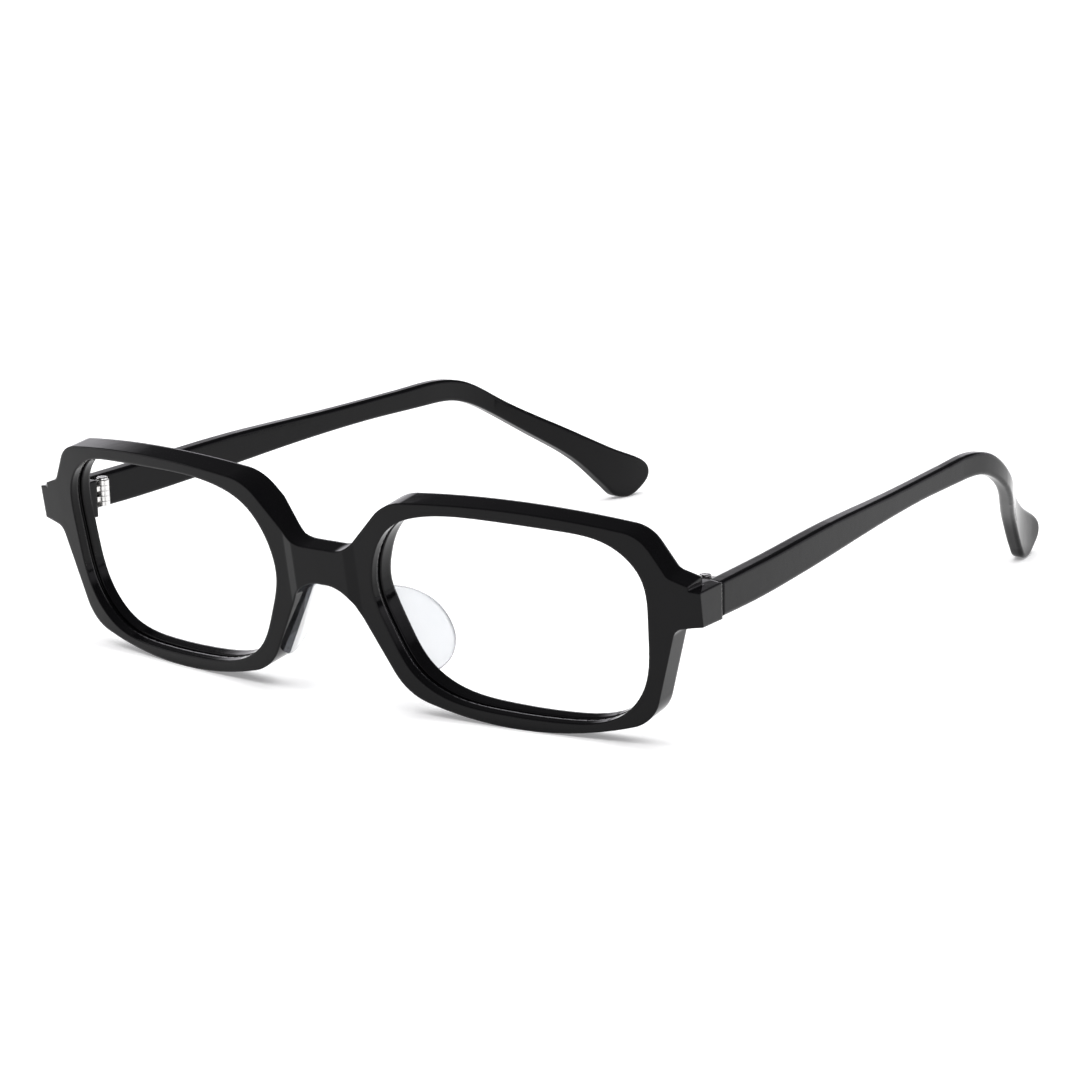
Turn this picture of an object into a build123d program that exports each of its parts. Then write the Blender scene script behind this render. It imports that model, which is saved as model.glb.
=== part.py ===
"""Full-rim acetate eyeglasses frame, temples open and standing on a flat surface.

Millimetres. +Z is up, +X is the wearer's left, -Y is the way the frame faces.
The origin is under the middle of the whole frame, on the surface it stands on.
"left" and "right" are the wearer's own.
"""
from build123d import *
from build123d.topology import SkipClean
import math
import os

os.makedirs("parts", exist_ok=True)

# ---------------------------------------------------------------- front sheet
FRONT_Y = -72.2          # where the front sheet's middle line meets the standing surface
SIDE_Y = FRONT_Y + 1.9   # temples and hinges are measured from here
TILT = 8.9               # degrees the top of the front leans forward when it stands
BOW_RADIUS = 287.0       # the front is bowed round the face on this radius
RIM_THICKNESS = 4.7      # front face to back face in the middle of a rim
NOSE_SWELL = 0.85        # how much thicker a rim is beside the nose
WALL_RADIUS = 800.0      # the walls of the rims draw together towards the back as if square to this bow
BRIDGE_STEP = 0.45       # the bridge face stands this far proud of the bowed rims
BRIDGE_THICKNESS = 4.1
BRIDGE_FLAT = 5.6        # half-width of the flat bridge face
BRIDGE_EDGE = 7.6        # where the bevel beside it reaches the rims
BRIDGE_BACK_EDGE = 11.0  # where the thinner back of the bridge reaches the rims
SHEET_REACH = 78.0       # half-width of the sheet the front is cut from
SHEET_LOW = -4.0
SHEET_TALL = 48.0
CUT_FRONT = -1.5         # depths of the two outlines every rim wall runs between
CUT_BACK = 16.0
# ------------------------------------------------------------------- lens seat
GROOVE_DEPTH = 0.7
GROOVE_START = 1.7       # behind the front face
GROOVE_WIDTH = 0.9
# ------------------------------------------------------------------- endpieces
SEAM_Y = SIDE_Y + 10.7   # back face of the endpiece, where the temple butts
ENDPIECE_REACH = 14.0
ENDPIECE_SIDE = (71.15, 70.3)   # half-width of the frame at the front and at the seam
TAPER_START = 3.5        # behind this the endpiece narrows towards the seam
# --------------------------------------------------------------------- temples
TEMPLE_ROUND = 0.6
TEMPLE_REACH = 80.0      # the side outline is drawn out this far sideways before it is cut in plan
TEMPLE_TALL = 40.0       # and the plan outline this far up
WIRE_RADIUS = 0.5
# ---------------------------------------------------------------------- hinges
HINGE_X = 65.4
HINGE_Y = SIDE_Y + 13.0
HINGE_BOTTOM = 22.55
KNUCKLE_RADIUS = 1.2
KNUCKLE_HEIGHT = 0.9
KNUCKLE_PITCH = 0.94     # leaves 0.04 between neighbours
SCREW_RADIUS = 0.6
SCREW_SLACK = 0.03
HINGE_TOP = HINGE_BOTTOM + 4 * KNUCKLE_PITCH + KNUCKLE_HEIGHT
HINGE_TALL = HINGE_TOP - HINGE_BOTTOM
HINGE_MIDDLE = (HINGE_BOTTOM + HINGE_TOP) / 2
HEAD_GAP = 0.04
HEAD_RADIUS = 1.0
HEAD_HEIGHT = 0.45
HEAD_ROUND = 0.2
SLOT_WIDTH = 0.3
SLOT_DEPTH = 0.2
LEAF_X = 66.95
LEAF_THICKNESS = 0.9
KNUCKLE_WEB = LEAF_X - HINGE_X + LEAF_THICKNESS / 2   # joins the temple's knuckles to their plate
LEAF_START = 0.2         # behind the hinge axis
LEAF_LENGTH = 4.8
LEAF_CORNER = 1.8
WEB_WIDTH = 1.6
WEB_INSET = 0.4          # how far the web reaches inward of the hinge axis
WEB_SINK = 0.5           # how far the knuckle webs run into the endpiece
ANCHOR_DEPTH = 2.6
ANCHOR_HEIGHT = HINGE_TALL - 0.6
# middle of the wire inside a temple: distance behind the front, half-width, height
WIRE_LINE = [
    (20, 67.95, 24.7), (58, 64.2, 26.4), (97, 60.05, 27.3), (109, 58.9, 25.1), (115.5, 57.4, 21.8),
    (123, 53.9, 17.1), (137, 47.2, 7.5),
]
WIRE_BEND = 10.0
# ------------------------------------------------------------------- nose pads
PAD_ORIGIN = (10.2, SIDE_Y + 0.7, 12.4)
PAD_ALONG = (0.45, 0.06, -0.89)   # down the side of the nose
PAD_OUT = (0.32, 0.93, 0.17)      # back and outwards
# outline of a pad, along and out: from its top end round to its bottom end
PAD_LEAF = [
    (-8.0, -1.5), (-7.6, 3.6), (-5.4, 7.2), (-2.0, 9.9), (1.4, 10.8), (4.9, 10.3), (7.2, 8.4), (8.4, 5.3),
    (6.5, -1.5),
]
PAD_THICKNESS = 1.5
PAD_ROUND = 0.5

TILT_SIN = math.sin(math.radians(TILT))
TILT_COS = math.cos(math.radians(TILT))


def sheet_plane(depth):
    """Plane parallel to the front sheet, this far behind its middle line, facing forward."""
    origin = (0, FRONT_Y + depth * TILT_COS, depth * TILT_SIN)
    return Plane(origin=origin, x_dir=(1, 0, 0), z_dir=(0, -TILT_COS, -TILT_SIN))


def plan_plane(height):
    """Plane square to the front sheet, looking down along it; local y is depth."""
    origin = (0, FRONT_Y - height * TILT_SIN, height * TILT_COS)
    return Plane(origin=origin, x_dir=(1, 0, 0), z_dir=(0, -TILT_SIN, TILT_COS))


def bow(x, behind=0.0):
    """Depth of the bowed surface at half-width x, or of the one parallel to it behind."""
    radius = BOW_RADIUS - behind
    return BRIDGE_STEP + BOW_RADIUS - math.sqrt(radius**2 - x**2)


def at_depth(x, height, depth):
    """Where a wall that starts at this point of the bowed surface crosses a plane at this depth."""
    return (x * (1 - (depth - bow(x)) / WALL_RADIUS), height)


def slab_profile(front, back, nose_swell=0.0):
    """Plan section between two surfaces parallel to the bowed face, at these depths behind it."""
    reach = SHEET_REACH
    half = reach / 2
    near_mid = (half, bow(half, front))
    near_end = (reach, bow(reach, front))
    far_mid = (half, bow(half, back))
    far_end = (reach, bow(reach, back))
    with BuildLine() as section:
        Polyline((0, front), (BRIDGE_FLAT, front), (BRIDGE_EDGE, bow(BRIDGE_EDGE, front)))
        ThreePointArc((BRIDGE_EDGE, bow(BRIDGE_EDGE, front)), near_mid, near_end)
        Line(near_end, far_end)
        if back > BRIDGE_THICKNESS:
            inner = (BRIDGE_BACK_EDGE, bow(BRIDGE_BACK_EDGE, back) + nose_swell)
            ThreePointArc(far_end, far_mid, inner)
            Polyline(inner, (BRIDGE_FLAT, BRIDGE_THICKNESS), (0, BRIDGE_THICKNESS))
            Line((0, BRIDGE_THICKNESS), (0, front))
        else:
            inner = (BRIDGE_EDGE, bow(BRIDGE_EDGE, back))
            ThreePointArc(far_end, far_mid, inner)
            Polyline(inner, (0, inner[1]), (0, front))
    make_face(section.edges())
    mirror(about=Plane.YZ)


# corners of half the outer outline, on the bowed face: half-width, height up the sheet, rounding
OUTER_TOP = [(5.6, 27.6, 6.0), (15.0, 37.4, 9.0), (61.9, 35.6, 6.0)]
OUTER_SIDE = [(65.85, 28.6, 2.2), (69.2, 27.25, 0), (69.2, 20.1, 0), (66.2, 19.65, 2.2)]
OUTER_LOW = [(60.9, 3.1, 7.0), (14.6, 3.6, 10.0), (6.45, 18.3, 2.5)]
TOP_CROWN = (38.5, 38.3)
LOW_CROWN = (38.5, -0.46)
ARCH_SIDE = (3.45, 20.65)
ARCH_TOP = (0, 21.2)


def rim_outline(depth):
    """Both rims and the bridge, without the endpieces, at one depth."""
    place = lambda point: at_depth(point[0], point[1], depth)
    bridge, nasal_top, temporal_top = [place(p) for p in OUTER_TOP]
    temporal_low, nasal_low, arch_foot = [place(p) for p in OUTER_LOW]
    with BuildLine() as outline:
        Polyline(place((0, OUTER_TOP[0][1])), bridge, nasal_top)
        ThreePointArc(nasal_top, place(TOP_CROWN), temporal_top)
        Polyline(temporal_top, *[place(p) for p in OUTER_SIDE], temporal_low)
        ThreePointArc(temporal_low, place(LOW_CROWN), nasal_low)
        Line(nasal_low, arch_foot)
        ThreePointArc(arch_foot, place(ARCH_SIDE), place(ARCH_TOP))
        Line(place(ARCH_TOP), place((0, OUTER_TOP[0][1])))
    half = make_face(outline.edges())
    for x, height, radius in OUTER_TOP + OUTER_SIDE + OUTER_LOW:
        if radius:
            half = fillet(half.vertices().sort_by_distance(Vector(*place((x, height))))[0], radius)
    mirror(about=Plane.YZ)


# the lens opening on the bowed face, once round from its nose side over the top
LENS_POINTS = [
    (10.45, 22.3), (11.65, 27.7), (15.6, 33.1), (22.6, 35.85), (34.7, 36.4), (48.0, 35.6),
    (56.9, 33.5), (61.3, 28.6), (61.75, 19.8), (59.5, 8.4), (55.3, 3.9), (44.3, 1.65),
    (32.0, 2.05), (20.5, 4.4), (16.2, 7.6), (12.7, 14.1),
]


def lens_outline(side, depth, grow=0.0):
    """The lens opening on one side (+1 or -1) at one depth, made larger all round by grow."""
    ring = [at_depth(x, height, depth) for x, height in LENS_POINTS]
    with BuildLine() as rim:
        Spline(*[(side * x, height) for x, height in ring], periodic=True)
    make_face(rim.edges())
    if grow:
        offset(amount=grow)


def lens_hole(side, grow=0.0, mode=Mode.SUBTRACT):
    """Cut (or build) the tapered plug that fills the lens opening on one side."""
    sections = []
    for depth in (CUT_FRONT, CUT_BACK):
        with BuildSketch(sheet_plane(depth)) as section:
            lens_outline(side, depth, grow)
        sections.append(section.sketch)
    loft(sections, ruled=True, mode=mode)


# half-section of the endpieces seen from the front: half-width, height
ENDPIECE_PROFILE = [
    (64.6, 27.6), (68.2, 27.6), (72.0, 27.3), (72.0, 21.65), (67.9, 21.05), (66.2, 20.9), (64.6, 21.0),
]

with BuildPart() as endpiece:
    with BuildSketch(Plane.XZ.offset(-SEAM_Y)):
        with BuildLine():
            Polyline(*ENDPIECE_PROFILE, close=True)
        make_face()
    extrude(amount=ENDPIECE_REACH)
    with BuildSketch(plan_plane(SHEET_LOW)):
        slab_profile(0.0, ENDPIECE_REACH)
    extrude(amount=SHEET_TALL, mode=Mode.INTERSECT)
    front_x, seam_x = ENDPIECE_SIDE
    with BuildSketch():
        with BuildLine():
            Polyline(
                (0, SEAM_Y - ENDPIECE_REACH), (front_x, SEAM_Y - ENDPIECE_REACH),
                (front_x, SIDE_Y + TAPER_START), (seam_x, SEAM_Y), (0, SEAM_Y), close=True,
            )
        make_face()
    extrude(amount=SHEET_TALL, mode=Mode.INTERSECT)

with BuildPart() as groove:
    for side in (1, -1):
        lens_hole(side, GROOVE_DEPTH, Mode.ADD)
    with BuildSketch(plan_plane(SHEET_LOW)):
        slab_profile(GROOVE_START, GROOVE_START + GROOVE_WIDTH)
    extrude(amount=SHEET_TALL, mode=Mode.INTERSECT)

with BuildPart() as front_frame:
    for depth in (CUT_FRONT, CUT_BACK):
        with BuildSketch(sheet_plane(depth)):
            rim_outline(depth)
    loft(ruled=True)
    with BuildSketch(plan_plane(SHEET_LOW)):
        slab_profile(0.0, RIM_THICKNESS, NOSE_SWELL)
    extrude(amount=SHEET_TALL, mode=Mode.INTERSECT)
    add(endpiece.part)
    add(mirror(endpiece.part, about=Plane.YZ, mode=Mode.PRIVATE))
    for side in (1, -1):
        lens_hole(side)
    add(groove.part, mode=Mode.SUBTRACT)


# edge of one temple seen from the side (distance behind the front, height):
# along the top, down the ear piece, round the tip and back underneath
TEMPLE_EDGE = [
    (10.82, 27.5), (28, 28.05), (48, 28.85), (70, 28.9), (90, 29.25), (101, 29.4), (108.5, 27.8),
    (116.5, 23.2), (127.5, 16.5), (137.8, 10.6), (143.6, 7.9), (146.8, 5.8), (147.3, 3.7), (145.3, 1.5),
    (141.5, 0.02), (138.7, 0.7), (136.1, 3.2), (130.9, 8.6), (123.0, 14.7), (113.0, 21.5), (105, 24.7),
    (96, 25.2), (80, 25.1), (60, 24.1), (40, 22.7), (20, 21.7), (10.82, 21.6),
]
# middle line of the temple seen from above (distance behind the front, half-width) and its thickness
TEMPLE_PLAN = [
    (8.0, 68.95, 3.1), (25, 67.5, 3.0), (40, 66.05, 2.9), (60, 64.0, 2.6), (80, 61.8, 2.4),
    (97, 60.0, 2.4), (108, 59.0, 2.5), (115, 57.6, 2.6), (121, 55.0, 2.7), (130, 50.0, 2.7),
    (138, 46.8, 2.6), (145, 45.1, 2.5), (152, 44.2, 2.5),
]


# where the two outlines above are divided into runs of curve
EDGE_BREAKS = (2, 4, 6, 8, 9, 11, 13, 16, 18, 20, 22, 24)
PLAN_BREAKS = (3, 5, 7, 9)


def direction(points, k):
    """Direction of a row of points at its k-th point."""
    before = points[max(k - 1, 0)]
    after = points[min(k + 1, len(points) - 1)]
    return (Vector(*after) - Vector(*before)).normalized()


def smooth_runs(points, breaks):
    """A row of points as runs of curve that meet smoothly: each run's points and end directions."""
    ends = (0, *breaks, len(points) - 1)
    for a, b in zip(ends, ends[1:]):
        yield points[a:b + 1], (direction(points, a), direction(points, b))


def plan_edge(outward):
    """One long edge of the temple seen from above: +1 is the side away from the head, -1 the inner."""
    middle = [(x, SIDE_Y + y) for y, x, width in TEMPLE_PLAN]
    points = []
    for k, (x, y) in enumerate(middle):
        along = direction(middle, k)
        reach = outward * TEMPLE_PLAN[k][2] / 2
        points.append((x + reach * along.Y, y - reach * along.X))
    return points


with BuildPart() as core_wire:
    with BuildLine() as wire_path:
        FilletPolyline(*[(x, SIDE_Y + y, z) for y, x, z in WIRE_LINE], radius=WIRE_BEND)
    with BuildSketch(Plane(origin=wire_path.line @ 0, z_dir=wire_path.line % 0)):
        Circle(WIRE_RADIUS)
    sweep(path=wire_path.line)

with BuildPart() as temple_leaf:
    for k in (0, 2, 4):
        with BuildSketch(Plane.XY.offset(HINGE_BOTTOM + k * KNUCKLE_PITCH)):
            with Locations((HINGE_X, HINGE_Y)):
                Circle(KNUCKLE_RADIUS)
                Rectangle(KNUCKLE_WEB, KNUCKLE_RADIUS, align=(Align.MIN, Align.MIN))
                Circle(SCREW_RADIUS + SCREW_SLACK, mode=Mode.SUBTRACT)
        extrude(amount=KNUCKLE_HEIGHT)
    with BuildSketch(Plane.YZ.offset(LEAF_X)):
        with Locations((HINGE_Y + LEAF_START, HINGE_MIDDLE)):
            Rectangle(LEAF_LENGTH, HINGE_TALL, align=(Align.MIN, Align.CENTER))
        fillet(vertices().sort_by(Axis.Y)[-2:], LEAF_CORNER)
    extrude(amount=LEAF_THICKNESS)

with BuildPart() as front_leaf:
    for k in (1, 3):
        with BuildSketch(Plane.XY.offset(HINGE_BOTTOM + k * KNUCKLE_PITCH)):
            with Locations((HINGE_X, HINGE_Y)):
                Circle(KNUCKLE_RADIUS)
            with Locations((HINGE_X - WEB_INSET, HINGE_Y)):
                Rectangle(WEB_WIDTH, HINGE_Y - SEAM_Y + WEB_SINK, align=(Align.MIN, Align.MAX))
            with Locations((HINGE_X, HINGE_Y)):
                Circle(SCREW_RADIUS, mode=Mode.SUBTRACT)
        extrude(amount=KNUCKLE_HEIGHT)
    with Locations((HINGE_X - WEB_INSET, SEAM_Y, HINGE_MIDDLE)):
        Box(WEB_WIDTH, ANCHOR_DEPTH, ANCHOR_HEIGHT, align=(Align.MIN, Align.MAX, Align.CENTER))

with BuildPart() as screw:
    with BuildSketch(Plane.XY.offset(HINGE_BOTTOM)):
        with Locations((HINGE_X, HINGE_Y)):
            Circle(SCREW_RADIUS)
    extrude(amount=HINGE_TOP - HINGE_BOTTOM + HEAD_GAP)
    with BuildSketch(Plane.XY.offset(HINGE_TOP + HEAD_GAP)):
        with Locations((HINGE_X, HINGE_Y)):
            Circle(HEAD_RADIUS)
    extrude(amount=HEAD_HEIGHT)
    fillet(edges().group_by(Axis.Z)[-1], HEAD_ROUND)
    with Locations((HINGE_X, HINGE_Y, HINGE_TOP + HEAD_GAP + HEAD_HEIGHT)):
        Box(3 * HEAD_RADIUS, SLOT_WIDTH, 2 * SLOT_DEPTH, mode=Mode.SUBTRACT)

with SkipClean(), BuildPart() as temple:
    points = [(0, SIDE_Y + y, z) for y, z in TEMPLE_EDGE]
    with BuildLine() as side_view:
        for run, ends in smooth_runs(points, EDGE_BREAKS):
            Spline(*run, tangents=ends)
        Line(points[-1], points[0])
    extrude(Face(side_view.wire()), amount=TEMPLE_REACH, dir=(1, 0, 0))
    with BuildLine() as plan_view:
        outer, inner = plan_edge(1), plan_edge(-1)
        for side_edge in (outer, inner):
            for run, ends in smooth_runs(side_edge, PLAN_BREAKS):
                Spline(*run, tangents=ends)
        Line(outer[0], inner[0])
        Line(outer[-1], inner[-1])
    extrude(Face(plan_view.wire()), amount=TEMPLE_TALL, both=True, mode=Mode.INTERSECT)
    fillet(edges().filter_by(GeomType.LINE, reverse=True), TEMPLE_ROUND)
    add(core_wire.part, mode=Mode.SUBTRACT)
    add(temple_leaf.part, mode=Mode.SUBTRACT)

with BuildPart() as pad:
    along = Vector(*PAD_ALONG).normalized()
    with BuildSketch(Plane(origin=PAD_ORIGIN, x_dir=along, z_dir=along.cross(Vector(*PAD_OUT)))):
        with BuildLine():
            Spline(*PAD_LEAF)
            Line(PAD_LEAF[-1], PAD_LEAF[0])
        make_face()
    extrude(amount=PAD_THICKNESS / 2, both=True)
    fillet(edges().filter_by(GeomType.BSPLINE), PAD_ROUND)

with BuildPart() as nose_pad:
    add(pad.part)
    add(front_frame.part, mode=Mode.SUBTRACT)

pieces = {
    "temple": temple, "temple_core_wire": core_wire, "nose_pad": nose_pad, "hinge_front_leaf": front_leaf,
    "hinge_temple_leaf": temple_leaf, "hinge_screw": screw,
}
with BuildPart() as whole_front:
    add(front_frame.part)
    add(front_leaf.part, mode=Mode.SUBTRACT)
    add(mirror(front_leaf.part, about=Plane.YZ, mode=Mode.PRIVATE), mode=Mode.SUBTRACT)

whole_front.part.label = "front_frame"
export_step(whole_front.part, "parts/front_frame.step")
for name, piece in pieces.items():
    left = piece.part
    right = mirror(left, about=Plane.YZ, mode=Mode.PRIVATE)
    for side_name, solid in (("left", left), ("right", right)):
        solid.label = f"{name}_{side_name}"
        export_step(solid, f"parts/{solid.label}.step")
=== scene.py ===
"""Looks for the eyeglasses frame: polished black acetate, clear pads, small steel hinges.

Metres, in the CAD frame: the frame faces -Y and stands on the floor at z = 0.
The CAD solids are shown as they are; this script gives them materials, a studio and a camera.
"""

import bpy
from mathutils import Matrix, Vector

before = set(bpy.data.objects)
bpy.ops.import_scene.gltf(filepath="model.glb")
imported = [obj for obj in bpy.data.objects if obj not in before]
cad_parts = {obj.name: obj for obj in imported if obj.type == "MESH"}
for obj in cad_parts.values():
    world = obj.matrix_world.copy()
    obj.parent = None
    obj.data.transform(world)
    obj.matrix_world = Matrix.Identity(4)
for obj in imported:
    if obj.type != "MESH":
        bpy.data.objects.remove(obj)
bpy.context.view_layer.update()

# ----------------------------------------------------------------- node helpers


class Nodes:
    """A material and a short way to add and join its shader nodes."""

    def __init__(self, name):
        self.material = bpy.data.materials.new(name)
        self.material.use_nodes = True
        self.tree = self.material.node_tree
        self.tree.nodes.clear()
        self.shader = self.tree.nodes.new("ShaderNodeBsdfPrincipled")
        output = self.tree.nodes.new("ShaderNodeOutputMaterial")
        self.link(self.shader.outputs["BSDF"], output.inputs["Surface"])
        self.place = self.add("ShaderNodeTexCoord").outputs["Object"]

    def add(self, kind, **values):
        """A node with some of its inputs set, by socket name."""
        node = self.tree.nodes.new(kind)
        for key, value in values.items():
            node.inputs[key.replace("_", " ")].default_value = value
        return node

    def link(self, source, target):
        self.tree.links.new(source, target)

    def set(self, **values):
        """Plain values for the shader itself, by socket name."""
        for key, value in values.items():
            self.shader.inputs[key.replace("_", " ")].default_value = value

    def stretched(self, scale):
        """The surface position, stretched by three factors."""
        node = self.add("ShaderNodeMapping")
        node.inputs["Scale"].default_value = scale
        self.link(self.place, node.inputs["Vector"])
        return node.outputs["Vector"]

    def noise(self, scale, detail=3.0, roughness=0.5, where=None):
        """Cloudy grey from 0 to 1, with scale features to the metre."""
        node = self.add("ShaderNodeTexNoise", Scale=scale, Detail=detail, Roughness=roughness)
        self.link(where or self.place, node.inputs["Vector"])
        return node.outputs["Fac"]

    def between(self, source, low, high, start=0.0, end=1.0):
        """Maps source from start..end to low..high."""
        node = self.add("ShaderNodeMapRange", From_Min=start, From_Max=end, To_Min=low, To_Max=high)
        self.link(source, node.inputs["Value"])
        return node.outputs["Result"]

    def math(self, operation, first, second):
        """Joins two sockets, or a socket and a plain number."""
        node = self.add("ShaderNodeMath")
        node.operation = operation
        for socket, value in zip(node.inputs, (first, second)):
            if isinstance(value, (int, float)):
                socket.default_value = value
            else:
                self.link(value, socket)
        return node.outputs["Value"]

    def colours(self, source, first, second):
        """A colour that runs from first to second as source goes from 0 to 1."""
        node = self.tree.nodes.new("ShaderNodeMix")
        node.data_type = "RGBA"
        self.link(source, node.inputs["Factor"])
        socket = [s for s in node.inputs if s.type == "RGBA"]
        socket[0].default_value = (*first, 1.0)
        socket[1].default_value = (*second, 1.0)
        return [s for s in node.outputs if s.type == "RGBA"][0]

    def blend(self, source, first, second):
        """The socket first, giving way to the plain colour second as source goes from 0 to 1."""
        node = self.tree.nodes.new("ShaderNodeMix")
        node.data_type = "RGBA"
        self.link(source, node.inputs["Factor"])
        start, end = [s for s in node.inputs if s.type == "RGBA"]
        self.link(first, start)
        end.default_value = (*second, 1.0)
        return [s for s in node.outputs if s.type == "RGBA"][0]

    def softened_edges(self, radius):
        """A rounded normal for the edges, and a mask that is 1 on them."""
        bevel = self.tree.nodes.new("ShaderNodeBevel")
        bevel.samples = 8
        bevel.inputs["Radius"].default_value = radius
        true_normal = self.tree.nodes.new("ShaderNodeNewGeometry").outputs["True Normal"]
        dot = self.tree.nodes.new("ShaderNodeVectorMath")
        dot.operation = "DOT_PRODUCT"
        self.link(bevel.outputs["Normal"], dot.inputs[0])
        self.link(true_normal, dot.inputs[1])
        mask = self.between(dot.outputs["Value"], 1.0, 0.0, 0.75, 0.995)
        return bevel.outputs["Normal"], mask

    def turned_from(self, face, edge_on, flat_on):
        """A mask that is 0 where the surface lies flat on to face and 1 where it is edge on to it."""
        dot = self.tree.nodes.new("ShaderNodeVectorMath")
        dot.operation = "DOT_PRODUCT"
        dot.inputs[1].default_value = face
        self.link(self.tree.nodes.new("ShaderNodeNewGeometry").outputs["True Normal"], dot.inputs[0])
        flat = self.tree.nodes.new("ShaderNodeMath")
        flat.operation = "ABSOLUTE"
        self.link(dot.outputs["Value"], flat.inputs[0])
        return self.between(flat.outputs["Value"], 1.0, 0.0, edge_on, flat_on)

    def bump(self, height, distance, strength, normal):
        """Raises the surface by height, on top of an already softened normal."""
        node = self.add("ShaderNodeBump", Strength=strength, Distance=distance)
        self.link(height, node.inputs["Height"])
        self.link(normal, node.inputs["Normal"])
        self.link(node.outputs["Normal"], self.shader.inputs["Normal"])


# -------------------------------------------------------------------- materials


# how far each material's edges look rounded
ACETATE_EDGE = 0.00055
PAD_EDGE = 0.0003
STEEL_EDGE = 0.00012
# darkest and lightest tone of the acetate; the lightest is also a painted highlight along its edges
ACETATE_DEEP = (0.0018, 0.0018, 0.0022)
ACETATE_PALE_AND_EDGE_SHEEN = (0.0045, 0.0044, 0.0048)
# the pads: their cloudy and clear tones, and a painted dark refraction of the black frame on their thin
# edges
PAD_CLOUDY = (0.84, 0.86, 0.88)
PAD_CLEAR = (0.93, 0.94, 0.95)
PAD_PAINTED_EDGE_DARK = (0.10, 0.105, 0.12)
PAD_FACE = (0.838, -0.361, 0.399)      # square to the left pad
# the dull share also holds on flat faces, away from the painted edge highlights
DULL_STEEL = 0.80                      # share of its colour that steel keeps in its dull patches


def black_acetate():
    """Tumbled and polished black acetate: deep gloss, faint cloudiness, fine polishing haze, and painted
    highlights along its edges.
    """
    m = Nodes("black_acetate")
    edge_normal, edges = m.softened_edges(ACETATE_EDGE)
    cloud = m.noise(90.0, 4.0, 0.6)
    haze = m.noise(900.0, 5.0, 0.65)
    hairlines = m.noise(400.0, 6.0, 0.7, m.stretched((1.0, 9.0, 9.0)))
    # the edge mask lifts the tone: a painted highlight along every edge, on top of the cloudy tone
    tone = m.math("ADD", m.math("MULTIPLY", cloud, 0.7), m.math("MULTIPLY", edges, 0.35))
    m.link(m.colours(tone, ACETATE_DEEP, ACETATE_PALE_AND_EDGE_SHEEN), m.shader.inputs["Base Color"])
    polish = m.between(haze, 0.04, 0.10, 0.3, 0.7)
    scratches = m.between(hairlines, 0.0, 0.05, 0.45, 0.75)
    wear = m.math("MULTIPLY", edges, 0.03)
    m.link(m.math("ADD", m.math("ADD", polish, scratches), wear), m.shader.inputs["Roughness"])
    ripple = m.math("ADD", m.noise(260.0, 2.0), m.math("MULTIPLY", haze, 0.12))
    m.bump(ripple, 0.00006, 0.35, edge_normal)
    m.set(Specular_IOR_Level=0.13)
    return m.material


def clear_plastic(side, face):
    """Cloudy clear moulded pads with a slightly soft surface, and a dark tone painted on their thin edges
    for the black frame seen through them; face is square to the pad.
    """
    m = Nodes("clear_plastic_" + side)
    edge_normal, _ = m.softened_edges(PAD_EDGE)
    painted_edge_dark = m.turned_from(face, 0.60, 0.97)
    haze = m.noise(700.0, 4.0, 0.6)
    body = m.colours(m.noise(150.0), PAD_CLOUDY, PAD_CLEAR)
    # where the pad turns edge on, its colour gives way to a painted dark refraction of the black frame
    m.link(m.blend(painted_edge_dark, body, PAD_PAINTED_EDGE_DARK), m.shader.inputs["Base Color"])
    m.link(m.between(haze, 0.08, 0.20, 0.3, 0.7), m.shader.inputs["Roughness"])
    m.bump(m.noise(350.0, 3.0), 0.00005, 0.3, edge_normal)
    m.set(Transmission_Weight=0.72, IOR=1.46)
    return m.material


def satin_steel(name, colour, rough, grain):
    """Small plated steel hardware with drawn grain, dull patches and painted highlights along its edges."""
    m = Nodes(name)
    edge_normal, edges = m.softened_edges(STEEL_EDGE)
    lines = m.noise(1800.0, 4.0, 0.7, m.stretched(grain))
    blotch = m.noise(600.0, 3.0)
    # edges are lifted towards the full colour: a painted highlight along every edge, over the random dull
    # patches
    tone = m.math("ADD", m.math("MULTIPLY", blotch, 0.8), m.math("MULTIPLY", edges, 0.6))
    dull = tuple(DULL_STEEL * c for c in colour)
    m.link(m.colours(tone, dull, colour), m.shader.inputs["Base Color"])
    m.link(m.between(lines, rough - 0.08, rough + 0.12, 0.3, 0.7), m.shader.inputs["Roughness"])
    m.bump(lines, 0.00002, 0.4, edge_normal)
    m.set(Metallic=1.0)
    return m.material


def painted(node, material):
    """Gives a CAD node its finished material."""
    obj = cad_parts[node]
    for slot in obj.material_slots:
        slot.material = material
    if not obj.material_slots:
        obj.data.materials.append(material)


acetate = black_acetate()
hinge_steel = satin_steel("hinge_steel", (0.93, 0.92, 0.90), 0.30, (1.0, 1.0, 8.0))
screw_steel = satin_steel("screw_steel", (0.86, 0.86, 0.85), 0.18, (4.0, 4.0, 1.0))
wire_steel = satin_steel("wire_steel", (0.66, 0.66, 0.66), 0.30, (8.0, 1.0, 8.0))

painted("front_frame", acetate)
for side, mirrored in (("left", 1), ("right", -1)):
    clear = clear_plastic(side, (mirrored * PAD_FACE[0], PAD_FACE[1], PAD_FACE[2]))
    painted("temple_" + side, acetate)
    painted("temple_core_wire_" + side, wire_steel)
    painted("nose_pad_" + side, clear)
    painted("hinge_front_leaf_" + side, hinge_steel)
    painted("hinge_temple_leaf_" + side, hinge_steel)
    painted("hinge_screw_" + side, screw_steel)

# ------------------------------------------------------------- floor and lights

FLOOR_HALF = 6.0
FLOOR_TONES = ((0.90, 0.90, 0.90), (0.92, 0.92, 0.92))
FLOOR_GLOW = 0.22                      # lifts the shadows, as on a lit table

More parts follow.
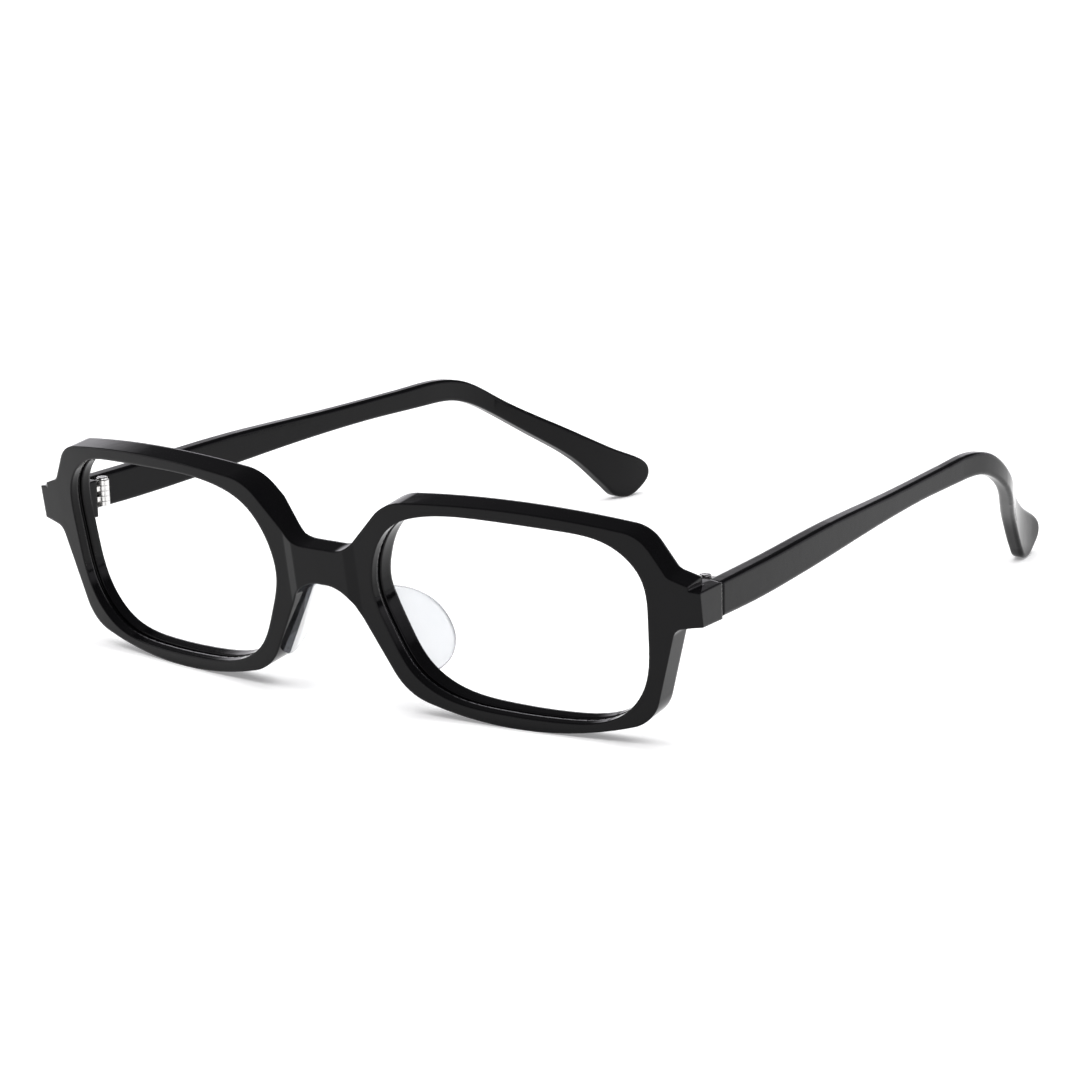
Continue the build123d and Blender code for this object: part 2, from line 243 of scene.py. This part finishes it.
floor_mesh = bpy.data.meshes.new("floor")
corners = [(x * FLOOR_HALF, y * FLOOR_HALF, 0) for x, y in ((-1, -1), (1, -1), (1, 1), (-1, 1))]
floor_mesh.from_pydata(corners, [], [(0, 1, 2, 3)])
floor = bpy.data.objects.new("floor", floor_mesh)
bpy.context.scene.collection.objects.link(floor)
floor_look = Nodes("floor")
floor_colour = floor_look.colours(floor_look.noise(3.0), *FLOOR_TONES)
floor_look.link(floor_colour, floor_look.shader.inputs["Base Color"])
floor_look.set(Roughness=0.9, Specular_IOR_Level=0.1)
floor_look.set(Emission_Color=(1.0, 1.0, 1.0, 1.0), Emission_Strength=FLOOR_GLOW)
floor_mesh.materials.append(floor_look.material)

world = bpy.data.worlds.new("studio")
bpy.context.scene.world = world
world.use_nodes = True
sky = world.node_tree
HORIZON_TINT = (0.97, 0.95, 1.0, 1.0)
BAND_LOW = 0.22           # sine of the height where the bright band starts to fade
BAND_HIGH = 0.36          # and where it ends
BAND_STRENGTH = 1.25
TOP_STRENGTH = 0.08
look_up = sky.nodes.new("ShaderNodeTexCoord")
split = sky.nodes.new("ShaderNodeSeparateXYZ")
fade = sky.nodes.new("ShaderNodeMapRange")
fade.inputs["From Min"].default_value = BAND_LOW
fade.inputs["From Max"].default_value = BAND_HIGH
fade.inputs["To Min"].default_value = BAND_STRENGTH
fade.inputs["To Max"].default_value = TOP_STRENGTH
sky.links.new(look_up.outputs["Generated"], split.inputs["Vector"])
sky.links.new(split.outputs["Z"], fade.inputs["Value"])
sky.links.new(fade.outputs["Result"], sky.nodes["Background"].inputs["Strength"])
sky.nodes["Background"].inputs["Color"].default_value = HORIZON_TINT


def soft_light(name, place, aim, width, height, power):
    """A rectangular soft box at place, turned towards aim."""
    data = bpy.data.lights.new(name, "AREA")
    data.shape = "RECTANGLE"
    data.size = width
    data.size_y = height
    data.energy = power
    light = bpy.data.objects.new(name, data)
    light.location = place
    light.rotation_euler = (Vector(aim) - Vector(place)).to_track_quat("-Z", "Y").to_euler()
    bpy.context.scene.collection.objects.link(light)
    return light


overhead = soft_light("overhead", (0.0, 0.15, 1.5), (0.0, 0.15, 0.0), 3.0, 3.0, 62.0)
overhead.visible_glossy = False
soft_light("left_box", (-1.0, -0.35, 0.55), (0.0, 0.0, 0.02), 0.5, 0.9, 2.0)

# ----------------------------------------------------------------------- camera

CAMERA_PLACE = (0.49454, -0.65772, 0.21864)
CAMERA_RIGHT = (0.7959, 0.6049, -0.0256)
CAMERA_UP = (-0.1272, 0.2084, 0.9697)
CAMERA_BACK = (0.5920, -0.7685, 0.2428)
SENSOR_MM = 36.0
LENS_MM = 158.0

camera_data = bpy.data.cameras.new("camera")
camera_data.sensor_width = SENSOR_MM
camera_data.lens = LENS_MM
camera_data.clip_start = 0.05
camera_data.clip_end = 50.0
camera = bpy.data.objects.new("camera", camera_data)
turn = Matrix((CAMERA_RIGHT, CAMERA_UP, CAMERA_BACK)).transposed().to_4x4()
camera.matrix_world = Matrix.Translation(CAMERA_PLACE) @ turn
bpy.context.scene.collection.objects.link(camera)
bpy.context.scene.camera = camera
bpy.context.scene.view_settings.view_transform = "Standard"
